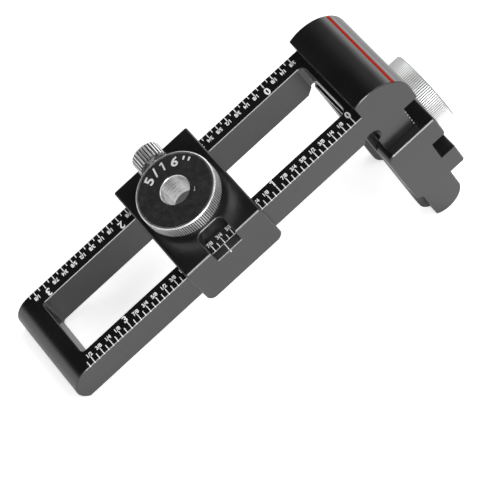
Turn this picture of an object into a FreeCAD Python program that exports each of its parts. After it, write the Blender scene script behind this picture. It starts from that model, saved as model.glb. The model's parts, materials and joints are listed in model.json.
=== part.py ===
import FreeCAD, Part
import math
import os

from FreeCAD import Vector

# Cross dowel jig, in millimetres.
# It is drawn square to itself: X runs along the frame towards the head, Y across the jig, and Z up.
# The fence face of the leg lies at X = 0, and the top face of the rails at Z = 0.
# At the end the whole jig is leaned over, so that it rests on the frame's nose and the leg's tips.

# Body
BODY_WIDTH = 28.86
FRAME_DEPTH = 12.1
FRAME_REACH = 98.05
LEG_DEPTH = 11.9
LEG_REACH = 62.1
REBATE_DEPTH = 2.0
REBATE_WIDTH = 3.4
EDGE_BREAK = 0.2

# Window between the rails, and the fork slot of the leg
SLOT_WIDTH = 19.2
NOSE_BAR = 8.05
WINDOW_PAST_FENCE = 0.45
WINDOW_NOSE_CORNER = 1.0
WINDOW_HEAD_CORNER = 1.8
FORK_TOP = 16.5
FORK_CORNER = 1.8

# Head
HEAD_SETBACK = 2.04
HEAD_REACH = 16.55
HEAD_CURVE = 10.5
HEAD_CURVE_DROP = 4.65
HEAD_SKIRT = 10.35

# Red index line, a groove across the head's curve
INDEX_TURN = 42.3
INDEX_WIDTH = 1.1
INDEX_DEPTH = 0.3

# Relief in the corner between the frame's underside and the fence face
RELIEF_RADIUS = 2.5
RELIEF_INSET = 1.2
RELIEF_RISE = 1.4
LEAD_IN = 2.5

# Carriages
CARRIAGE_LENGTH = 25.2
CARRIAGE_COVER = 4.63
SKIRT_WALL = 2.55
SLIDE_GAP = 0.06
LIP_GAP = 0.1
SKIRT_CORNER = 2.3
COVER_CORNER = 0.6
SADDLE_EDGE = 0.35
DRILL_STATION = -44.73
END_STATION = -32.1

# Reading windows in the carriages' covers
READING_WIDTH = 8.2
READING_INNER = 10.1
READING_CORNER = 1.7
READING_BEVEL = 0.25

# Guide bushes
BUSH_BORE = 7.938
BUSH_HEAD = 21.2
BUSH_HEAD_HEIGHT = 4.1
DRILL_BUSH_STANDOFF = 2.72
END_BUSH_STANDOFF = 1.35
BUSH_SHANK = 17.9
BUSH_SHANK_LENGTH = 4.9
BUSH_UNDERCUT = 0.5
BUSH_UNDERCUT_WIDTH = 0.8
BUSH_FIT = 0.05
BUSH_EDGE = 0.35
BORE_MOUTH = 0.2

# Lock screws
SCREW_HEAD = 8.1
SCREW_HEAD_LENGTH = 5.6
SCREW_HEAD_BEVEL = 0.7
SCREW_EDGE = 0.25
SCREW_NECK = 5.0
SCREW_NECK_LENGTH = 2.3
SCREW_SHANK = 4.0
SCREW_FIT = 0.05
SCREW_TIP_GAP = 0.06
SCREW_DEPTH = 3.0

# Worked out from the sizes above
half_width = BODY_WIDTH / 2
half_slot = SLOT_WIDTH / 2
rebate_half = half_width - REBATE_WIDTH
window_reach = FRAME_REACH - NOSE_BAR
nose_radius = FRAME_DEPTH / 2
tip_radius = LEG_DEPTH / 2
channel_half = half_width + SLIDE_GAP
skirt_half = channel_half + SKIRT_WALL
across = Vector(0, 1, 0)


def profile(steps, y):
    """Face in the plane of constant y. Each step ends at its last point, and a step of two is an arc."""
    edges = []
    here = steps[-1][-1]
    for step in steps:
        points = [Vector(x, y, z) for x, z in [here] + step]
        if len(points) == 3:
            edges.append(Part.Arc(*points).toShape())
        else:
            edges.append(Part.LineSegment(*points).toShape())
        here = step[-1]
    return Part.Face(Part.Wire(edges))


def span_y(steps, y_from, y_to):
    """Profile drawn in X and Z, from one y to the other."""
    return profile(steps, y_from).extrude(Vector(0, y_to - y_from, 0))


def polygon_prism(corners, along):
    """Straight prism on a closed polygon of points."""
    return Part.Face(Part.makePolygon(corners + corners[:1])).extrude(along)


def turned(outline):
    """Solid of revolution about +Z from points of radius and height. The outline closes on the axis."""
    corners = [Vector(radius, 0, height) for radius, height in outline]
    face = Part.Face(Part.makePolygon(corners + corners[:1]))
    return face.revolve(Vector(0, 0, 0), Vector(0, 0, 1), 360)


def box_between(low, high):
    """Box from its lowest corner to its highest."""
    size = [b - a for a, b in zip(low, high)]
    return Part.makeBox(*size, Vector(*low))


def rounded_along(solid, direction, radius, wanted):
    """Fillet on the straight edges that run along a direction and whose middle is wanted."""
    chosen = []
    for edge in solid.Edges:
        if isinstance(edge.Curve, Part.Line) and abs(edge.Curve.Direction.dot(direction)) > 0.999:
            if wanted(edge.CenterOfMass):
                chosen.append(edge)
    return solid.makeFillet(radius, chosen)


def bevelled(solid, size, wanted):
    """Chamfer on the edges that are wanted."""
    return solid.makeChamfer(size, [edge for edge in solid.Edges if wanted(edge)])


def lies_in(edge, axis, value):
    """True where the whole edge is in the plane that a coordinate's value gives."""
    box = edge.BoundBox
    low = (box.XMin, box.YMin, box.ZMin)[axis]
    high = (box.XMax, box.YMax, box.ZMax)[axis]
    return abs(low - value) < 0.001 and abs(high - value) < 0.001


def slot_between(low, high, direction, radius, wanted):
    """Box to cut away, with its wanted edges along a direction rounded."""
    return rounded_along(box_between(low, high), direction, radius, wanted)


def rebates():
    """Steps out of the outer lower edges of the frame and the leg's edges beside the fence face."""
    steps = []
    for inner, outer in ((-half_width, -rebate_half), (rebate_half, half_width)):
        steps.append(box_between(
            (-FRAME_REACH, inner, -FRAME_DEPTH), (REBATE_DEPTH, outer, REBATE_DEPTH - FRAME_DEPTH)))
        steps.append(box_between((0, inner, -LEG_REACH), (REBATE_DEPTH, outer, REBATE_DEPTH - FRAME_DEPTH)))
    return steps


def corner_relief():
    """Round groove across the inner corner, with a lead-in slope from the frame's underside."""
    centre = (RELIEF_INSET, -FRAME_DEPTH + RELIEF_RISE)
    groove = Part.makeCylinder(
        RELIEF_RADIUS, BODY_WIDTH, Vector(centre[0], -half_width, centre[1]), across)
    slope_top = (RELIEF_INSET - 1.85, -FRAME_DEPTH + LEAD_IN)
    slope = span_y(
        [[slope_top], [(slope_top[0] - LEAD_IN, -FRAME_DEPTH)], [(0, -FRAME_DEPTH)], [centre]],
        -half_width, half_width)
    return [groove, slope]


def index_groove():
    """Groove for the red index line, square to the head's curve."""
    bar = box_between(
        (HEAD_CURVE - INDEX_DEPTH, -half_width, -INDEX_WIDTH / 2),
        (HEAD_CURVE + INDEX_DEPTH, half_width, INDEX_WIDTH / 2))
    bar.rotate(Vector(0, 0, 0), across, -INDEX_TURN)
    bar.translate(Vector(HEAD_REACH - HEAD_CURVE, 0, -HEAD_CURVE_DROP))
    return bar


def outer_form():
    """Frame, head and leg in one outline, without the window, fork and grooves."""
    nose_x = -FRAME_REACH + nose_radius
    tip_z = -LEG_REACH + tip_radius
    curve_x = HEAD_REACH - HEAD_CURVE
    curve_z = -HEAD_CURVE_DROP
    lift = math.acos((HEAD_SETBACK - curve_x) / HEAD_CURVE)
    head_top = curve_z + HEAD_CURVE * math.sin(lift)
    middle = (curve_x + HEAD_CURVE * math.cos(lift / 2), curve_z + HEAD_CURVE * math.sin(lift / 2))
    return span_y([
        [(-FRAME_REACH, -nose_radius), (nose_x, 0)],
        [(HEAD_SETBACK, 0)],
        [(HEAD_SETBACK, head_top)],
        [middle, (HEAD_REACH, curve_z)],
        [(HEAD_REACH, -HEAD_SKIRT)],
        [(LEG_DEPTH, -HEAD_SKIRT)],
        [(LEG_DEPTH, tip_z)],
        [(tip_radius, -LEG_REACH), (0, tip_z)],
        [(0, -FRAME_DEPTH)],
        [(nose_x, -FRAME_DEPTH)],
    ], -half_width, half_width)


def make_body():
    """One-piece body with its window, fork, chamfers, relief and index groove."""
    window = slot_between(
        (-window_reach, -half_slot, -FRAME_DEPTH), (WINDOW_PAST_FENCE, half_slot, HEAD_CURVE),
        Vector(0, 0, 1), WINDOW_HEAD_CORNER, lambda middle: middle.x > -window_reach / 2)
    window = rounded_along(
        window, Vector(0, 0, 1), WINDOW_NOSE_CORNER, lambda middle: middle.x < -window_reach / 2)
    fork = slot_between(
        (0, -half_slot, -LEG_REACH), (LEG_DEPTH, half_slot, -FORK_TOP),
        Vector(1, 0, 0), FORK_CORNER, lambda middle: middle.z > -LEG_REACH / 2)
    blank = bevelled(
        outer_form(), EDGE_BREAK,
        lambda edge: lies_in(edge, 1, -half_width) or lies_in(edge, 1, half_width))
    framed = bevelled(
        blank.cut([window]), EDGE_BREAK,
        lambda edge: lies_in(edge, 2, 0) and abs(edge.CenterOfMass.y) < half_slot + 0.001
        and edge.BoundBox.XMax < HEAD_SETBACK - 0.001)
    forked = bevelled(
        framed.cut([fork]), EDGE_BREAK,
        lambda edge: lies_in(edge, 0, LEG_DEPTH) and abs(edge.CenterOfMass.y) < half_slot + 0.001
        and edge.BoundBox.ZMax < -FORK_TOP + 0.001)
    return forked.cut([index_groove()] + rebates() + corner_relief()).removeSplitter()


def ledge_bevel(side):
    """Wedge off the outer edge of the ledge under a reading window."""
    outer = side * (skirt_half + READING_BEVEL)
    inner = side * (skirt_half - READING_BEVEL)
    corners = [
        Vector(-READING_WIDTH / 2, inner, 0),
        Vector(-READING_WIDTH / 2, outer, 0),
        Vector(-READING_WIDTH / 2, outer, -2 * READING_BEVEL),
    ]
    return polygon_prism(corners, Vector(READING_WIDTH, 0, 0))


def make_carriage(section_depth):
    """Saddle on a rail section of the given depth. X is along the slide, and the rail's face is at Z = 0."""
    half_length = CARRIAGE_LENGTH / 2
    skirt_drop = section_depth - LIP_GAP
    saddle = box_between(
        (-half_length, -skirt_half, -skirt_drop), (half_length, skirt_half, CARRIAGE_COVER))
    saddle = rounded_along(saddle, across, SKIRT_CORNER, lambda middle: middle.z < 0)
    saddle = rounded_along(saddle, across, COVER_CORNER, lambda middle: middle.z > 0)
    saddle = bevelled(
        saddle, SADDLE_EDGE, lambda edge: lies_in(edge, 1, -skirt_half) or lies_in(edge, 1, skirt_half))
    channel = box_between(
        (-half_length, -channel_half, REBATE_DEPTH - SLIDE_GAP - section_depth),
        (half_length, channel_half, SLIDE_GAP))
    mouth = box_between(
        (-half_length, -rebate_half - SLIDE_GAP, -section_depth),
        (half_length, rebate_half + SLIDE_GAP, -REBATE_DEPTH))
    half_reading = READING_WIDTH / 2
    near = slot_between(
        (-half_reading, -skirt_half, 0), (half_reading, -READING_INNER, CARRIAGE_COVER),
        Vector(0, 0, 1), READING_CORNER, lambda middle: middle.y > -READING_INNER - 1)
    far = slot_between(
        (-half_reading, READING_INNER, 0), (half_reading, skirt_half, CARRIAGE_COVER),
        Vector(0, 0, 1), READING_CORNER, lambda middle: middle.y < READING_INNER + 1)
    bush_hole = Part.makeCylinder(BUSH_SHANK / 2 + BUSH_FIT, CARRIAGE_COVER)
    screw_hole = Part.makeCylinder(
        SCREW_SHANK / 2 + SCREW_FIT, skirt_half, Vector(0, 0, -SCREW_DEPTH), across)
    saddle = saddle.cut([near, far]).removeSplitter()
    saddle = bevelled(
        saddle, READING_BEVEL,
        lambda edge: lies_in(edge, 2, CARRIAGE_COVER) and abs(edge.CenterOfMass.y) > READING_INNER - 0.001
        and abs(edge.CenterOfMass.x) < half_reading + 0.001 and abs(edge.CenterOfMass.y) < channel_half)
    bevels = [ledge_bevel(-1), ledge_bevel(1)]
    return saddle.cut([channel, mouth, bush_hole, screw_hole] + bevels).removeSplitter()


def make_bush(standoff):
    """Guide bush with its head's top face up, on the bush hole's axis, at a height above the cover."""
    head_bottom = CARRIAGE_COVER + standoff
    head_top = head_bottom + BUSH_HEAD_HEIGHT
    head = BUSH_HEAD / 2
    shank = BUSH_SHANK / 2
    bore = BUSH_BORE / 2
    shank_end = head_bottom - BUSH_SHANK_LENGTH
    return turned([
        (bore, shank_end),
        (shank - BUSH_EDGE, shank_end),
        (shank, shank_end + BUSH_EDGE),
        (shank, head_bottom - BUSH_UNDERCUT_WIDTH),
        (shank - BUSH_UNDERCUT, head_bottom - BUSH_UNDERCUT_WIDTH),
        (shank - BUSH_UNDERCUT, head_bottom),
        (head - BUSH_EDGE, head_bottom),
        (head, head_bottom + BUSH_EDGE),
        (head, head_top - BUSH_EDGE),
        (head - BUSH_EDGE, head_top),
        (bore + BORE_MOUTH, head_top),
        (bore, head_top - BORE_MOUTH),
    ])


def make_lock_screw():
    """Thumb screw across the far skirt, with its tip beside the rail."""
    tip = half_width + SCREW_TIP_GAP
    neck_start = skirt_half + SLIDE_GAP
    head_start = neck_start + SCREW_NECK_LENGTH
    head_end = head_start + SCREW_HEAD_LENGTH
    head = SCREW_HEAD / 2
    shank = SCREW_SHANK / 2
    screw = turned([
        (0, tip),
        (shank - SCREW_EDGE, tip),
        (shank, tip + SCREW_EDGE),
        (shank, neck_start),
        (SCREW_NECK / 2, neck_start),
        (SCREW_NECK / 2, head_start),
        (head - SCREW_EDGE, head_start),
        (head, head_start + SCREW_EDGE),
        (head, head_end - SCREW_HEAD_BEVEL),
        (head - SCREW_HEAD_BEVEL, head_end),
        (0, head_end),
    ])
    screw.rotate(Vector(0, 0, 0), Vector(1, 0, 0), -90)
    screw.translate(Vector(0, 0, -SCREW_DEPTH))
    return screw


def on_frame(shape):
    """Place a piece of the drill carriage on the frame."""
    shape.translate(Vector(DRILL_STATION, 0, 0))
    return shape


def on_leg(shape):
    """Place a piece of the end carriage on the leg, with its outward side towards +X."""
    shape.rotate(Vector(0, 0, 0), across, 90)
    shape.translate(Vector(LEG_DEPTH, 0, END_STATION))
    return shape


def lean_angle():
    """Tilt in degrees that brings the frame's nose and the leg's tips to one level."""
    run = FRAME_REACH - nose_radius + tip_radius
    rise = LEG_REACH - tip_radius - nose_radius
    return math.degrees(math.atan2(rise, run) - math.asin((nose_radius - tip_radius) / math.hypot(run, rise)))


pieces = {
    "jig_body": make_body(),
    "drill_carriage": on_frame(make_carriage(FRAME_DEPTH)),
    "drill_bush": on_frame(make_bush(DRILL_BUSH_STANDOFF)),
    "drill_lock_screw": on_frame(make_lock_screw()),
    "end_carriage": on_leg(make_carriage(LEG_DEPTH)),
    "end_bush": on_leg(make_bush(END_BUSH_STANDOFF)),
    "end_lock_screw": on_leg(make_lock_screw()),
}

# Lean the jig over, then bring the middle of its foot to the origin
for piece in pieces.values():
    piece.rotate(Vector(0, 0, 0), across, -lean_angle())
extent = Part.makeCompound(list(pieces.values())).optimalBoundingBox(False, False)
rest_shift = Vector(-extent.Center.x, -extent.Center.y, -extent.ZMin)

os.makedirs("parts", exist_ok=True)
for name, piece in pieces.items():
    piece.translate(rest_shift)
    piece.exportStep(f"parts/{name}.step")
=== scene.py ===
import json
import math

import bmesh
import bpy
from mathutils import Matrix, Vector


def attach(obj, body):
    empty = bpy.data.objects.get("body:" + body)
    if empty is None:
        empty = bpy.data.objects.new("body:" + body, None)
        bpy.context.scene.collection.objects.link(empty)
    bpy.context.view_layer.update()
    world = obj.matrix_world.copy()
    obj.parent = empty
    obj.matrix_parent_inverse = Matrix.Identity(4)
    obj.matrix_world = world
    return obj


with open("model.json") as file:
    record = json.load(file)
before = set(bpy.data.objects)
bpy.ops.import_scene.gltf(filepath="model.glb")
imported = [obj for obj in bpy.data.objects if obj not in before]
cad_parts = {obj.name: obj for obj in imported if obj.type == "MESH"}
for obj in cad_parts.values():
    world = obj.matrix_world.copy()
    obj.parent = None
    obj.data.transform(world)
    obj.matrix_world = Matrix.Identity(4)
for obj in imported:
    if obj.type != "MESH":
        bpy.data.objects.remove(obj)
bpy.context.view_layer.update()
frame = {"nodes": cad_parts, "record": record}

# Sizes in millimetres and turns in degrees, in the jig's own axes: X along the frame towards the head,
# Y across, Z up from the rails. The fence face of the leg is at X = 0 and the rails' top face at Z = 0.
MM = 0.001
INCH = 25.4
HALF_WIDTH = 14.43
FRAME_DEPTH = 12.1
LEG_DEPTH = 11.9
FENCE_POINT = (0.0, -10.3, -50.0)
EDGE_BREAK = 0.2
SKIRT_HALF = 17.04
COVER = 4.63
DRILL_STATION = -44.73
END_STATION = -32.1
BUSH_HEAD_RADIUS = 10.6
BUSH_HEAD_HEIGHT = 4.1
BUSH_EDGE = 0.35
BUSH_SHANK_RADIUS = 8.95
BUSH_UNDERCUT = 0.5
BUSH_UNDERCUT_WIDTH = 0.8
DRILL_BUSH_BOTTOM = 7.35
END_BUSH_BOTTOM = 5.98
SCREW_DEPTH = 3.0
SCREW_HEAD_RADIUS = 4.05
SCREW_HEAD_START = 19.4
SCREW_HEAD_END = 25.0
SCREW_HEAD_BEVEL = 0.7
HEAD_REACH = 16.55
HEAD_CURVE = 10.5
HEAD_CURVE_DROP = 4.65
INDEX_TURN = 42.3
INDEX_WIDTH = 1.1
INDEX_DEPTH = 0.3

# Knurls. A drop is how far a bush's knurl reaches below its head.
TOOTH_TOP = 0.35
BUSH_TEETH = 112
BUSH_ROOT = 10.68
BUSH_CREST = 10.95
BUSH_FOOT_INSET = 0.1
BUSH_LEAD = 0.3
BUSH_RUNOUT = 0.06
DRILL_KNURL_DROP = 0.45
END_KNURL_DROP = 1.1
SCREW_TEETH = 28
SCREW_TOOTH = 0.3
SCREW_SINK = 0.02
SCREW_FOOT = 0.15
SCREW_LEAD = 0.4
SCREW_RUNOUT = 0.1

# Rings over a lock screw's bevel and at its end: distance along, and how far crest and root draw in
SCREW_BEVEL_RING = (0.3, 0.25, 0.3)
SCREW_END_RING = (0.05, 0.6, 0.65)

# Rims of the bushes
RIM_RADIUS = 10.86
RIM_BEVEL = 0.27
RIM_STEP = 0.05
RIM_WALL = 0.3
RIM_OVERLAP = 0.02
RIM_LAP = 0.1
RIM_SIDES = 144

# Thread between the drill bush's cover and its undercut
THREAD_PITCH = 1.0
THREAD_RIDGE = 0.16
THREAD_SINK = 0.02
THREAD_FLANK = 0.4
THREAD_SIDES = 72
THREAD_ABOVE_COVER = 0.45
THREAD_PAST_UNDERCUT = 0.1

# Marks. Tick lengths are for sixteenths, eighths and whole inches, measured in from the edge.
INK_LIFT = 0.012
INDEX_PAINT = 0.74
INDEX_FILL = 0.12
TICK_WIDTH = 0.26
TICK_WRAP = 0.02
TICK_WRAP_LIFT = 0.03
NEAR_TICKS = (1.7, 2.1, 2.42)
FAR_TICKS = (1.2, 1.6, 1.9)
NEAR_FRACTION_BASE = 2.3
FAR_FRACTION_BASE = 1.75
FRACTION_HEIGHT = 1.15
FRACTION_WEIGHT = 0.035
FRACTION_SQUEEZE = 0.9
WHOLE_STROKE = 0.42
WHOLE_WEIGHT = 0.03
HAIRLINE_INSET = 0.25
HAIRLINE_GAP = 0.1
DRILL_HAIRLINE_DROP = 1.0
END_HAIRLINE_DROP = 0.0

# Base and height of the whole inches' numbers
NEAR_WHOLE = (2.58, 2.0)
FAR_WHOLE = (2.3, 2.25)

# Extent of the scales in sixteenths, and the place of the far rail's zero
RAIL_LAST = 57
FAR_ZERO = -10.56
FAR_BEFORE_ZERO = 6
FAR_LAST = 51
LEG_LAST = 27

# Lettering: a capital's height as a share of the type size, and the flag of a 1 in heights and strokes
CAP_SHARE = 0.73
TEXT_RESOLUTION = 3
FLAG_TURN = 35
FLAG_LENGTH = 0.32
FLAG_WIDTH = 0.8
FLAG_OVERLAP = 0.2

# Size mark: each character and its turn round the bore
ENGRAVING_MARKS = (("5", -25.0), ("/", -6.0), ("1", 12.5), ("6", 35.5), ("'", 52.0), ("'", 62.0))
ENGRAVING_RADIUS = 6.75
ENGRAVING_HEIGHT = 2.7
ENGRAVING_STROKE = 0.42
ENGRAVING_WEIGHT = 0.025
ENGRAVING_SQUEEZE = 1.12
ENGRAVED_ONE_SHARE = 0.95

# Scratch and the nick across it, each from a low to a high corner
SCRATCH_PLACE = (3.9, -3.75)
SCRATCH_TURN = 48
SCRATCH_LINE = ((-0.65, -0.05), (0.6, 0.05))
NICK_PLACE = -0.3
NICK_TURN = -70
NICK_LINE = ((-0.2, -0.045), (0.25, 0.045))

# Finishes. Waves are counted per metre, a gloss is a range of roughness, and a depth is in metres.
# Between its two stops, a cloud's factor blends a dark tone into a light one.
CLOUD_STOPS = (0.35, 0.65)
CLOUD_DETAIL = 4.0
BLACK_CLOUD_STOPS = (0.3, 0.7)
BLACK_DARK = (0.004, 0.004, 0.0045)
BLACK_LIGHT = (0.007, 0.007, 0.0075)
BLACK_REFRACTION = 1.77
BLACK_GLOSS = (0.2, 0.3)
DRILL_CARRIAGE_GLOSS = (0.26, 0.36)
BLACK_CLOUD_WAVES = 90.0
GRAIN_WAVES = 5200.0
GRAIN_DETAIL = 2.0
GRAIN_STRENGTH = 0.25
GRAIN_DEPTH = 0.00001
SOFT_EDGE = 0.15
SOFT_EDGE_SAMPLES = 6
STEEL_TONES = (0.57, 0.73)
STEEL_BLUE = 1.01
STEEL_GLOSS = (0.1, 0.26)
STEEL_CLOUD_WAVES = 600.0
STEEL_CLOUD_DETAIL = 8.0
LATHE_WAVES = 3300.0
LATHE_DETAIL = 2.0
LATHE_STRENGTH = 0.8
LATHE_DEPTH = 0.00006
RIM_GLOSS = (0.32, 0.44)
# Painted dark reflection: darker tones for the end bush's rim than for the other turned steel
END_RIM_PAINTED_DARK_TONES = (0.26, 0.34)
# Painted shade in the roots of the knurls and the thread: this dark tone below a share of the tooth
# height, fading into the crest tone over the next share
ROOT_PAINTED_SHADE = (0.012, 0.012, 0.013)
ROOT_SHADE_FADE = 0.35
KNURL_GLOSS = (0.36, 0.48)
END_KNURL_GLOSS = (0.46, 0.58)
KNURL_CLOUD_WAVES = 900.0
INK_CLOUD_WAVES = 1500.0
INK_SHADE = 0.86
INK_ROUGHNESS = 0.6

# Camera: the photograph's image is 488 pixels square
IMAGE_SIZE = 488
FOCAL_PIXELS = 2587.3
CAMERA_DISTANCE = 657.72
CAMERA_ELEVATION = 49.28
CAMERA_TURN = 33.95
CAMERA_ROLL = -0.15
JIG_ORIGIN_PIXEL = (322.92, 89.53)
SENSOR = 36.0
NEAR_CLIP = 0.01
FAR_CLIP = 20.0

# Studio: the dark card is seen from the jig in this direction, out to an edge and a fade in degrees
FLOOR_HALF = 4.0
FLOOR_WHITE = (0.9, 0.9, 0.9, 1)
FLOOR_ROUGHNESS = 0.9
FLOOR_GLOW = 0.56
GLOW_IN_METAL = 0.25
ROOM_LIGHT = 0.95
CARD_LIGHT = 0.03
CARD_DIRECTION = (-0.3, 0.54, 0.78)
CARD_EDGE = 46.0
CARD_FADE = 60.0

# Lamps: name, place in metres, side in metres and watts
LAMP_TARGET = (0, 0, 0.03)
LAMPS = (
    ("front_lamp", (-0.5, -1.5, 0.9), 0.65, 13),
    ("top_lamp", (0.5, 0.2, 1.8), 1.0, 12),
    ("side_lamp", (1.0, 0.75, 0.35), 0.7, 2),
)


# Places

def shift(x, y, z):
    """Matrix of a move."""
    return Matrix.Translation((x, y, z))


def turned(degrees, axis):
    """Matrix of a turn about an axis."""
    return Matrix.Rotation(math.radians(degrees), 4, axis)


def jig_frame():
    """Matrix from the jig's own millimetres to the model's metres, from where the mounts lie."""
    mounts = {mount["name"]: mount for mount in frame["record"]["mounts"]}
    up = Vector(mounts["drill_bush_bore"]["axis"]).normalized()
    along = Vector(mounts["end_bush_bore"]["axis"]).normalized()
    across = up.cross(along)
    turn = Matrix((along, across, up)).transposed()
    origin = Vector(mounts["fence_face"]["pos_m"]) - turn @ (Vector(FENCE_POINT) * MM)
    return Matrix.Translation(origin) @ turn.to_4x4() @ Matrix.Scale(MM, 4)


JIG = jig_frame()
ON_FRAME = JIG @ shift(DRILL_STATION, 0, 0)
ON_LEG = JIG @ shift(LEG_DEPTH, 0, END_STATION) @ turned(90, "Y")
ALONG_SCREW = shift(0, 0, -SCREW_DEPTH) @ turned(-90, "X")
ACROSS_FRAME = ON_FRAME @ ALONG_SCREW
ACROSS_LEG = ON_LEG @ ALONG_SCREW


# Height of a knurl's teeth, kept in the mesh: 1 on a crest and 0 in a root
CREST = "crest"


# Node helpers for materials

def new_material(name):
    """Node material with a principled shader. Returns the material, its nodes, links and shader."""
    material = bpy.data.materials.new(name)
    material.use_nodes = True
    nodes = material.node_tree.nodes
    links = material.node_tree.links
    shader = nodes["Principled BSDF"]
    return material, nodes, links, shader


def noise_node(nodes, links, scale, detail=CLOUD_DETAIL):
    """Noise in object coordinates, with the scale in waves per metre."""
    place = nodes.new("ShaderNodeTexCoord")
    noise = nodes.new("ShaderNodeTexNoise")
    noise.inputs["Scale"].default_value = scale
    noise.inputs["Detail"].default_value = detail
    links.new(place.outputs["Object"], noise.inputs["Vector"])
    return noise


def ramp_node(nodes, links, source, stops):
    """Colour ramp on a factor. Stops are positions and colours."""
    ramp = nodes.new("ShaderNodeValToRGB")
    elements = ramp.color_ramp.elements
    for element, (position, colour) in zip(elements, stops):
        element.position = position
        element.color = (*colour, 1.0)
    links.new(source, ramp.inputs["Fac"])
    return ramp


def bump_node(nodes, links, source, strength, distance):
    """Bump from a height, for a shader's normal."""
    bump = nodes.new("ShaderNodeBump")
    bump.inputs["Strength"].default_value = strength
    bump.inputs["Distance"].default_value = distance
    links.new(source, bump.inputs["Height"])
    return bump


def ring_node(nodes, links, place):
    """Noise that varies only along a place's axis z and away from it, as marks of turning do."""
    here = nodes.new("ShaderNodeTexCoord")
    local = nodes.new("ShaderNodeMapping")
    local.vector_type = "TEXTURE"
    local.inputs["Location"].default_value = place.translation
    local.inputs["Rotation"].default_value = place.to_euler()
    links.new(here.outputs["Object"], local.inputs["Vector"])
    split = nodes.new("ShaderNodeSeparateXYZ")
    links.new(local.outputs["Vector"], split.inputs["Vector"])
    flat = nodes.new("ShaderNodeCombineXYZ")
    links.new(split.outputs["X"], flat.inputs["X"])
    links.new(split.outputs["Y"], flat.inputs["Y"])
    radius = nodes.new("ShaderNodeVectorMath")
    radius.operation = "LENGTH"
    links.new(flat.outputs["Vector"], radius.inputs[0])
    total = nodes.new("ShaderNodeMath")
    total.operation = "ADD"
    links.new(radius.outputs["Value"], total.inputs[0])
    links.new(split.outputs["Z"], total.inputs[1])
    rings = nodes.new("ShaderNodeTexNoise")
    rings.noise_dimensions = "1D"
    rings.inputs["Scale"].default_value = LATHE_WAVES
    rings.inputs["Detail"].default_value = LATHE_DETAIL
    links.new(total.outputs["Value"], rings.inputs["W"])
    return rings


def set_colour(nodes, links, shader, source, stops, colours):
    """Base colour that follows a factor from one colour to another between two stops."""
    ramp = ramp_node(nodes, links, source, list(zip(stops, colours)))
    links.new(ramp.outputs["Color"], shader.inputs["Base Color"])


def set_gloss(nodes, links, shader, source, gloss):
    """Roughness that follows a factor over a range."""
    spread = nodes.new("ShaderNodeMapRange")
    spread.inputs["To Min"].default_value = gloss[0]
    spread.inputs["To Max"].default_value = gloss[1]
    links.new(source, spread.inputs["Value"])
    links.new(spread.outputs["Result"], shader.inputs["Roughness"])


def black_anodised(name, gloss):
    """Satin black anodised aluminium with a fine grain, slightly uneven gloss and softened edges."""
    material, nodes, links, shader = new_material(name)
    cloud = noise_node(nodes, links, BLACK_CLOUD_WAVES)
    set_colour(nodes, links, shader, cloud.outputs["Fac"], BLACK_CLOUD_STOPS, (BLACK_DARK, BLACK_LIGHT))
    set_gloss(nodes, links, shader, cloud.outputs["Fac"], gloss)
    grain = noise_node(nodes, links, GRAIN_WAVES, GRAIN_DETAIL)
    bump = bump_node(nodes, links, grain.outputs["Fac"], GRAIN_STRENGTH, GRAIN_DEPTH)
    soft = nodes.new("ShaderNodeBevel")
    soft.samples = SOFT_EDGE_SAMPLES
    soft.inputs["Radius"].default_value = SOFT_EDGE * MM
    links.new(soft.outputs["Normal"], bump.inputs["Normal"])
    links.new(bump.outputs["Normal"], shader.inputs["Normal"])
    shader.inputs["IOR"].default_value = BLACK_REFRACTION
    return material


def turned_steel(name, place, gloss=STEEL_GLOSS, tones=STEEL_TONES):
    """Turned steel with fine rings about a place's axis z, and faint blotches between two tones."""
    material, nodes, links, shader = new_material(name)
    cloud = noise_node(nodes, links, STEEL_CLOUD_WAVES, STEEL_CLOUD_DETAIL)
    colours = [(tone, tone, STEEL_BLUE * tone) for tone in tones]
    set_colour(nodes, links, shader, cloud.outputs["Fac"], CLOUD_STOPS, colours)
    set_gloss(nodes, links, shader, cloud.outputs["Fac"], gloss)
    shader.inputs["Metallic"].default_value = 1.0
    rings = ring_node(nodes, links, place)
    bump = bump_node(nodes, links, rings.outputs["Fac"], LATHE_STRENGTH, LATHE_DEPTH)
    links.new(bump.outputs["Normal"], shader.inputs["Normal"])
    return material


def knurled_steel(name, crest, painted_shade_share, gloss):
    """Plated steel of a knurled band: bright crests, with painted shade darkening the roots over a
    share of each flank.
    """
    material, nodes, links, shader = new_material(name)
    height = nodes.new("ShaderNodeAttribute")
    height.attribute_name = CREST
    set_colour(nodes, links, shader, height.outputs["Fac"],
               (painted_shade_share, painted_shade_share + ROOT_SHADE_FADE), (ROOT_PAINTED_SHADE, (crest, crest, crest)))
    cloud = noise_node(nodes, links, KNURL_CLOUD_WAVES)
    set_gloss(nodes, links, shader, cloud.outputs["Fac"], gloss)
    shader.inputs["Metallic"].default_value = 1.0
    return material


def ink(name, colour, shine=0.2):
    """Matt paint in the marks, slightly uneven, with little shine."""
    material, nodes, links, shader = new_material(name)
    cloud = noise_node(nodes, links, INK_CLOUD_WAVES)
    dark = tuple(INK_SHADE * c for c in colour)
    set_colour(nodes, links, shader, cloud.outputs["Fac"], CLOUD_STOPS, (dark, colour))
    shader.inputs["Roughness"].default_value = INK_ROUGHNESS
    shader.inputs["Specular IOR Level"].default_value = shine
    return material


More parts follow.
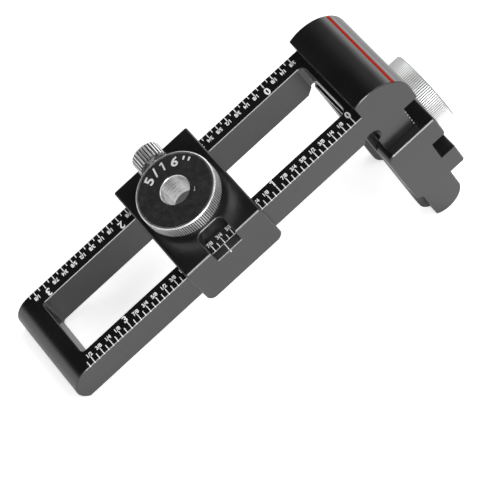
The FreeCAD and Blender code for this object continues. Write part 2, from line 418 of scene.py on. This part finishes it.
BODY_BLACK = black_anodised("body_black", BLACK_GLOSS)
DRILL_CARRIAGE_BLACK = black_anodised("drill_carriage_black", DRILL_CARRIAGE_GLOSS)
END_CARRIAGE_BLACK = black_anodised("end_carriage_black", BLACK_GLOSS)
DRILL_BUSH_STEEL = turned_steel("drill_bush_steel", ON_FRAME)
END_BUSH_STEEL = turned_steel("end_bush_steel", ON_LEG)
DRILL_RIM_STEEL = turned_steel("drill_rim_steel", ON_FRAME, RIM_GLOSS)
# The end bush's rim is a darker copy of the rim steel, with painted dark reflection
END_RIM_PAINTED_DARK_STEEL = turned_steel("end_rim_steel_painted_dark", ON_LEG, RIM_GLOSS, END_RIM_PAINTED_DARK_TONES)
DRILL_SCREW_STEEL = turned_steel("drill_screw_steel", ACROSS_FRAME)
END_SCREW_STEEL = turned_steel("end_screw_steel", ACROSS_LEG)
# Each knurl paints shade into its roots over the given share of the tooth height
DRILL_BUSH_KNURL = knurled_steel("drill_bush_knurl", crest=0.9, painted_shade_share=0.36, gloss=KNURL_GLOSS)
# Painted light: the end bush's knurl is a lighter copy of the same knurl, with brighter crests and a
# smaller share of painted shade in its roots
END_BUSH_KNURL_PAINTED_LIGHTER = knurled_steel("end_bush_knurl", crest=0.95, painted_shade_share=0.2, gloss=END_KNURL_GLOSS)
SCREW_KNURL = knurled_steel("screw_knurl", crest=0.9, painted_shade_share=0.3, gloss=KNURL_GLOSS)
WHITE_INK = ink("white_ink", (0.95, 0.95, 0.95))
RED_INK = ink("red_ink", (0.52, 0.014, 0.004), shine=0.03)
ETCH = ink("etched_mark", (0.7, 0.7, 0.7))


def dress_nodes():
    """Give each CAD node its finish."""
    finishes = {
        "jig_body": BODY_BLACK,
        "drill_carriage": DRILL_CARRIAGE_BLACK,
        "end_carriage": END_CARRIAGE_BLACK,
        "drill_bush": DRILL_BUSH_STEEL,
        "end_bush": END_BUSH_STEEL,
        "drill_lock_screw": DRILL_SCREW_STEEL,
        "end_lock_screw": END_SCREW_STEEL,
    }
    for name, material in finishes.items():
        for slot in frame["nodes"][name].material_slots:
            slot.material = material


# Mesh helpers

def new_piece(name, mesh_build, material, body):
    """Add an object from a filled bmesh in the model's metres, riding on a body."""
    mesh = bpy.data.meshes.new(name)
    mesh_build.to_mesh(mesh)
    mesh_build.free()
    mesh.materials.append(material)
    piece = bpy.data.objects.new(name, mesh)
    bpy.context.scene.collection.objects.link(piece)
    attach(piece, body)


def round_point(build, place, radius, turn, height):
    """Vertex at a radius, a turn in radians and a height, about axis z of a place."""
    return build.verts.new(place @ Vector((radius * math.cos(turn), radius * math.sin(turn), height)))


def add_plate(build, place, low, high, thickness=INK_LIFT):
    """Thin plate from a low to a high corner, on the plane z = 0 of a place."""
    corners = [(low[0], low[1]), (high[0], low[1]), (high[0], high[1]), (low[0], high[1])]
    rings = []
    for z in (-thickness, thickness):
        rings.append([build.verts.new(place @ Vector((x, y, z))) for x, y in corners])
    build.faces.new(reversed(rings[0]))
    build.faces.new(rings[1])
    for i in range(4):
        j = (i + 1) % 4
        build.faces.new((rings[0][i], rings[0][j], rings[1][j], rings[1][i]))


def add_text(build, place, words, height, weight, squeeze=1.0):
    """Characters as thin solids, centred on a place, with their feet on its X axis."""
    curve = bpy.data.curves.new("words", "FONT")
    curve.body = words
    curve.align_x = "CENTER"
    curve.size = 1.0
    curve.offset = weight
    curve.resolution_u = TEXT_RESOLUTION
    curve.extrude = 1.0
    source = bpy.data.objects.new("words", curve)
    mesh = bpy.data.meshes.new_from_object(source)
    size = height / CAP_SHARE
    mesh.transform(place @ Matrix.Diagonal((size * squeeze, size, INK_LIFT, 1.0)))
    build.from_mesh(mesh)
    bpy.data.objects.remove(source)
    bpy.data.curves.remove(curve)
    bpy.data.meshes.remove(mesh)


def add_one(build, place, height, width):
    """Figure 1 with its flag, as thin plates, centred on a place, with its foot on the X axis."""
    half = width / 2
    add_plate(build, place, (-half, 0), (half, height))
    flag = place @ shift(-half, height, 0) @ turned(FLAG_TURN, "Z")
    add_plate(build, flag, (-FLAG_LENGTH * height, -FLAG_WIDTH * width), (FLAG_OVERLAP * width, 0))


def fraction_name(count):
    """Label of an even number of sixteenths, as the fraction past the last whole inch."""
    top, bottom = count % 16, 16
    while top % 2 == 0:
        top, bottom = top // 2, bottom // 2
    return f"{top}/{bottom}"


def add_scale(build, place, way, first, last, ticks, fraction_base, whole):
    """Graduations in sixteenths of an inch along x of a place, with y measured in from the edge."""
    whole_base, whole_height = whole
    half = TICK_WIDTH / 2
    slant = EDGE_BREAK * math.sqrt(2)
    bevel = place @ shift(0, EDGE_BREAK, 0) @ turned(45, "X")
    for count in range(first, last + 1):
        x = way * count * INCH / 16
        on_inch = count % 16 == 0
        length = ticks[2] if on_inch else ticks[count % 2 == 0]
        add_plate(build, place, (x - half, EDGE_BREAK), (x + half, length))
        add_plate(build, bevel, (x - half, -slant), (x + half, TICK_WRAP), TICK_WRAP_LIFT)
        if abs(count) == 16:
            add_one(build, place @ shift(x, whole_base, 0), whole_height, WHOLE_STROKE)
        elif on_inch:
            label = str(abs(count) // 16)
            add_text(build, place @ shift(x, whole_base, 0), label, whole_height, WHOLE_WEIGHT)
        elif count % 2 == 0:
            add_text(build, place @ shift(x, fraction_base, 0), fraction_name(abs(count)),
                     FRACTION_HEIGHT, FRACTION_WEIGHT, FRACTION_SQUEEZE)


def rail_scales():
    """White graduations on both rails and both prongs. The far ones are turned to read from behind."""
    build = bmesh.new()
    turned_round = turned(180, "Z")
    near = JIG @ shift(0, -HALF_WIDTH, 0)
    add_scale(build, near, -1, 0, RAIL_LAST, NEAR_TICKS, NEAR_FRACTION_BASE, NEAR_WHOLE)
    far = JIG @ shift(FAR_ZERO, HALF_WIDTH, 0) @ turned_round
    add_scale(build, far, 1, -FAR_BEFORE_ZERO, FAR_LAST, FAR_TICKS, FAR_FRACTION_BASE, FAR_WHOLE)
    leg = JIG @ shift(LEG_DEPTH, 0, -FRAME_DEPTH) @ turned(90, "Y")
    near_prong = leg @ shift(0, -HALF_WIDTH, 0)
    add_scale(build, near_prong, 1, 0, LEG_LAST, NEAR_TICKS, NEAR_FRACTION_BASE, NEAR_WHOLE)
    far_prong = leg @ shift(0, HALF_WIDTH, 0) @ turned_round
    add_scale(build, far_prong, -1, 0, LEG_LAST, NEAR_TICKS, NEAR_FRACTION_BASE, NEAR_WHOLE)
    new_piece("rail_scales", build, WHITE_INK, "body")


def index_line():
    """Red paint in the groove across the head's curve, against the groove's far wall."""
    build = bmesh.new()
    place = (JIG @ shift(HEAD_REACH - HEAD_CURVE, 0, -HEAD_CURVE_DROP) @ turned(90 - INDEX_TURN, "Y")
             @ shift(0, 0, HEAD_CURVE - INDEX_DEPTH + INDEX_FILL))
    half = HALF_WIDTH - EDGE_BREAK
    add_plate(build, place, (INDEX_WIDTH / 2 - INDEX_PAINT, -half), (INDEX_WIDTH / 2, half), INDEX_FILL)
    new_piece("index_line", build, RED_INK, "body")


def hairline(name, place, drop, body):
    """White hairline on the near ledge of a reading window. It may run a little way down the skirt."""
    build = bmesh.new()
    half = TICK_WIDTH / 2
    add_plate(build, place, (-half, -SKIRT_HALF + HAIRLINE_INSET), (half, -HALF_WIDTH - HAIRLINE_GAP))
    if drop:
        down = place @ shift(0, -SKIRT_HALF, 0) @ turned(90, "X")
        add_plate(build, down, (-half, -drop), (half, 0.0))
    new_piece(name, build, WHITE_INK, body)


def knurl(name, place, rings, teeth, material, body):
    """Sleeve of flat-topped teeth along z of a place. A ring has its height, crest and root radius."""
    build = bmesh.new()
    height = build.verts.layers.float.new(CREST)
    loops = []
    for z, crest, root in rings:
        loop = []
        for i in range(teeth):
            for share, top in ((-TOOTH_TOP / 2, 1.0), (TOOTH_TOP / 2, 1.0), (0.5, 0.0)):
                turn = 2 * math.pi * (i + share) / teeth
                point = round_point(build, place, crest if top else root, turn, z)
                point[height] = top
                loop.append(point)
        loops.append(loop)
    for lower, upper in zip(loops, loops[1:]):
        for i in range(len(lower)):
            j = (i + 1) % len(lower)
            build.faces.new((lower[i], lower[j], upper[j], upper[i]))
    new_piece(name, build, material, body)


def bush_knurl(name, place, bottom, drop, material, body):
    """Fine knurl round a bush's head, closed under the head round the shank."""
    low = bottom - drop
    high = bottom + BUSH_HEAD_HEIGHT - RIM_BEVEL
    shank = BUSH_SHANK_RADIUS - BUSH_UNDERCUT
    foot = BUSH_ROOT - BUSH_FOOT_INSET
    rings = [
        (low, shank, shank),
        (low, foot, foot),
        (low + BUSH_LEAD, BUSH_CREST, BUSH_ROOT),
        (high - BUSH_RUNOUT, BUSH_CREST, BUSH_ROOT),
        (high, RIM_RADIUS - RIM_STEP, BUSH_ROOT),
    ]
    knurl(name, place, rings, BUSH_TEETH, material, body)


def bush_rim(name, place, top, material, body):
    """Smooth bevelled rim between a bush's knurl and its face."""
    build = bmesh.new()
    bevel = top - RIM_BEVEL
    face = top + INK_LIFT / 2
    inner = BUSH_HEAD_RADIUS - BUSH_EDGE - RIM_LAP
    outline = [
        (RIM_RADIUS - RIM_WALL, bevel - RIM_OVERLAP),
        (RIM_RADIUS, bevel - RIM_OVERLAP),
        (RIM_RADIUS, bevel),
        (RIM_RADIUS - RIM_BEVEL, face),
        (inner, face),
        (inner, top - INK_LIFT),
    ]
    loops = []
    for i in range(RIM_SIDES):
        turn = 2 * math.pi * i / RIM_SIDES
        loops.append([round_point(build, place, r, turn, z) for r, z in outline])
    for i, here in enumerate(loops):
        there = loops[(i + 1) % RIM_SIDES]
        for k in range(len(outline)):
            n = (k + 1) % len(outline)
            build.faces.new((here[k], there[k], there[n], here[n]))
    new_piece(name, build, material, body)


def screw_knurl(name, place, body):
    """Coarse knurl round a lock screw's head, which runs out over its bevelled end."""
    root = SCREW_HEAD_RADIUS - SCREW_SINK
    crest = SCREW_HEAD_RADIUS + SCREW_TOOTH
    foot = root - SCREW_FOOT
    bevel = SCREW_HEAD_END - SCREW_HEAD_BEVEL
    over_bevel, bevel_crest, bevel_root = SCREW_BEVEL_RING
    before_end, end_crest, end_root = SCREW_END_RING
    rings = [
        (SCREW_HEAD_START + SCREW_FOOT, foot, foot),
        (SCREW_HEAD_START + SCREW_LEAD, crest, root),
        (bevel - SCREW_RUNOUT, crest, root),
        (bevel + over_bevel, crest - bevel_crest, root - bevel_root),
        (SCREW_HEAD_END - before_end, root - end_crest, root - end_root),
    ]
    knurl(name, place, rings, SCREW_TEETH, SCREW_KNURL, body)


def thread(name, place, low, high, body):
    """Ridge of a shank's thread from a low to a high place along it."""
    build = bmesh.new()
    crest = build.verts.layers.float.new(CREST)
    turns = (high - low) / THREAD_PITCH
    flank = THREAD_PITCH * THREAD_FLANK
    root = BUSH_SHANK_RADIUS - THREAD_SINK
    outline = [(root, -flank), (BUSH_SHANK_RADIUS + THREAD_RIDGE, 0), (root, flank)]
    loops = []
    for i in range(int(turns * THREAD_SIDES) + 1):
        turn = 2 * math.pi * i / THREAD_SIDES
        height = low + THREAD_PITCH * i / THREAD_SIDES
        loop = [round_point(build, place, r, turn, height + z) for r, z in outline]
        loop[1][crest] = 1.0
        loops.append(loop)
    for here, there in zip(loops, loops[1:]):
        for i in range(3):
            j = (i + 1) % 3
            build.faces.new((here[i], there[i], there[j], here[j]))
    build.faces.new(loops[0])
    build.faces.new(reversed(loops[-1]))
    # The drill bush's knurl finish paints shade into the thread's roots too
    new_piece(name, build, DRILL_BUSH_KNURL, body)


def engraving(name, place, body):
    """Size mark on a bush's face, on an arc round the bore. The face is at z = 0 of the place."""
    build = bmesh.new()
    for character, turn in ENGRAVING_MARKS:
        spot = place @ turned(-turn, "Z") @ shift(0, ENGRAVING_RADIUS, 0)
        if character == "1":
            add_one(build, spot, ENGRAVING_HEIGHT * ENGRAVED_ONE_SHARE, ENGRAVING_STROKE)
        else:
            add_text(build, spot, character, ENGRAVING_HEIGHT, ENGRAVING_WEIGHT, ENGRAVING_SQUEEZE)
    new_piece(name, build, ETCH, body)


def scratch(name, place, body):
    """Bright scratch on a bush's face beside the bore, with a nick across it."""
    build = bmesh.new()
    line = place @ shift(*SCRATCH_PLACE, 0) @ turned(SCRATCH_TURN, "Z")
    add_plate(build, line, *SCRATCH_LINE)
    nick = line @ shift(NICK_PLACE, 0, 0) @ turned(NICK_TURN, "Z")
    add_plate(build, nick, *NICK_LINE)
    new_piece(name, build, ETCH, body)


# Camera, floor and light

def camera():
    """Camera at the photograph's place, from the fitted view."""
    turn = math.radians(CAMERA_TURN)
    rise = math.radians(CAMERA_ELEVATION)
    right = Vector((math.cos(turn), -math.sin(turn), 0))
    up = Vector((math.sin(turn) * math.sin(rise), math.cos(turn) * math.sin(rise), math.cos(rise)))
    forward = Vector((math.sin(turn) * math.cos(rise), math.cos(turn) * math.cos(rise),
                      -math.sin(rise)))
    aside = (JIG_ORIGIN_PIXEL[0] - IMAGE_SIZE / 2) / FOCAL_PIXELS
    above = (IMAGE_SIZE / 2 - JIG_ORIGIN_PIXEL[1]) / FOCAL_PIXELS
    spot = JIG.translation - (right * aside + up * above + forward) * CAMERA_DISTANCE * MM
    data = bpy.data.cameras.new("camera")
    data.sensor_width = SENSOR
    data.lens = FOCAL_PIXELS / IMAGE_SIZE * SENSOR
    data.clip_start = NEAR_CLIP
    data.clip_end = FAR_CLIP
    eye = bpy.data.objects.new("camera", data)
    bpy.context.scene.collection.objects.link(eye)
    axes = Matrix((right, up, -forward)).transposed().to_4x4()
    eye.matrix_world = Matrix.Translation(spot) @ axes @ turned(CAMERA_ROLL, "Z")
    bpy.context.scene.camera = eye


def studio():
    """White floor that keeps a light shadow."""
    mesh = bpy.data.meshes.new("floor")
    half = FLOOR_HALF
    corners = [(-half, -half, 0), (half, -half, 0), (half, half, 0), (-half, half, 0)]
    mesh.from_pydata(corners, [], [(0, 1, 2, 3)])
    floor = bpy.data.objects.new("floor", mesh)
    bpy.context.scene.collection.objects.link(floor)
    material, nodes, links, shader = new_material("white_floor")
    shader.inputs["Base Color"].default_value = FLOOR_WHITE
    shader.inputs["Roughness"].default_value = FLOOR_ROUGHNESS
    shader.inputs["Specular IOR Level"].default_value = 0.0
    shader.inputs["Emission Color"].default_value = (1, 1, 1, 1)
    path = nodes.new("ShaderNodeLightPath")
    metal = nodes.new("ShaderNodeMath")
    metal.operation = "MAXIMUM"
    links.new(path.outputs["Is Glossy Ray"], metal.inputs[0])
    links.new(path.outputs["Is Transmission Ray"], metal.inputs[1])
    seen = nodes.new("ShaderNodeMath")
    seen.operation = "MULTIPLY_ADD"
    seen.use_clamp = True
    links.new(metal.outputs["Value"], seen.inputs[0])
    seen.inputs[1].default_value = GLOW_IN_METAL
    links.new(path.outputs["Is Camera Ray"], seen.inputs[2])
    glow = nodes.new("ShaderNodeMath")
    glow.operation = "MULTIPLY"
    glow.inputs[1].default_value = FLOOR_GLOW
    links.new(seen.outputs["Value"], glow.inputs[0])
    links.new(glow.outputs["Value"], shader.inputs["Emission Strength"])
    mesh.materials.append(material)


def world_light():
    """White room with a dark card behind and above the jig."""
    world = bpy.data.worlds.new("room")
    bpy.context.scene.world = world
    world.use_nodes = True
    nodes = world.node_tree.nodes
    links = world.node_tree.links
    place = nodes.new("ShaderNodeTexCoord")
    nearness = nodes.new("ShaderNodeVectorMath")
    nearness.operation = "DOT_PRODUCT"
    nearness.inputs[1].default_value = Vector(CARD_DIRECTION).normalized()
    links.new(place.outputs["Generated"], nearness.inputs[0])
    ramp = ramp_node(nodes, links, nearness.outputs["Value"], [
        (math.cos(math.radians(CARD_FADE)), (ROOM_LIGHT, ROOM_LIGHT, ROOM_LIGHT)),
        (math.cos(math.radians(CARD_EDGE)), (CARD_LIGHT, CARD_LIGHT, CARD_LIGHT))])
    background = nodes["Background"]
    links.new(ramp.outputs["Color"], background.inputs["Color"])
    background.inputs["Strength"].default_value = 1.0


def area_lamp(name, place, side, watts):
    """Square soft lamp aimed at the jig."""
    light = bpy.data.lights.new(name, "AREA")
    light.shape = "SQUARE"
    light.size = side
    light.energy = watts
    lamp = bpy.data.objects.new(name, light)
    bpy.context.scene.collection.objects.link(lamp)
    lamp.location = place
    lamp.rotation_euler = (Vector(LAMP_TARGET) - Vector(place)).to_track_quat("-Z", "Y").to_euler()


dress_nodes()
rail_scales()
index_line()
hairline("drill_hairline", ON_FRAME, DRILL_HAIRLINE_DROP, "drill_slider")
hairline("end_hairline", ON_LEG, END_HAIRLINE_DROP, "end_slider")
for name, place, bottom, drop, band, rim, body in (
        ("drill_bush", ON_FRAME, DRILL_BUSH_BOTTOM, DRILL_KNURL_DROP,
         DRILL_BUSH_KNURL, DRILL_RIM_STEEL, "drill_guide"),
        ("end_bush", ON_LEG, END_BUSH_BOTTOM, END_KNURL_DROP,
         END_BUSH_KNURL_PAINTED_LIGHTER, END_RIM_PAINTED_DARK_STEEL, "end_guide")):
    top = bottom + BUSH_HEAD_HEIGHT
    bush_knurl(f"{name}_knurl", place, bottom, drop, band, body)
    bush_rim(f"{name}_rim", place, top, rim, body)
    engraving(f"{name}_size", place @ shift(0, 0, top), body)
scratch("drill_bush_scratch", ON_FRAME @ shift(0, 0, DRILL_BUSH_BOTTOM + BUSH_HEAD_HEIGHT),
        "drill_guide")
thread("drill_bush_thread", ON_FRAME, COVER + THREAD_ABOVE_COVER,
       DRILL_BUSH_BOTTOM - BUSH_UNDERCUT_WIDTH + THREAD_PAST_UNDERCUT, "drill_guide")
screw_knurl("drill_lock_knurl", ACROSS_FRAME, "drill_lock")
screw_knurl("end_lock_knurl", ACROSS_LEG, "end_lock")

bpy.context.scene.view_settings.view_transform = "Standard"
camera()
studio()
world_light()
for name, place, side, watts in LAMPS:
    area_lamp(name, place, side, watts)
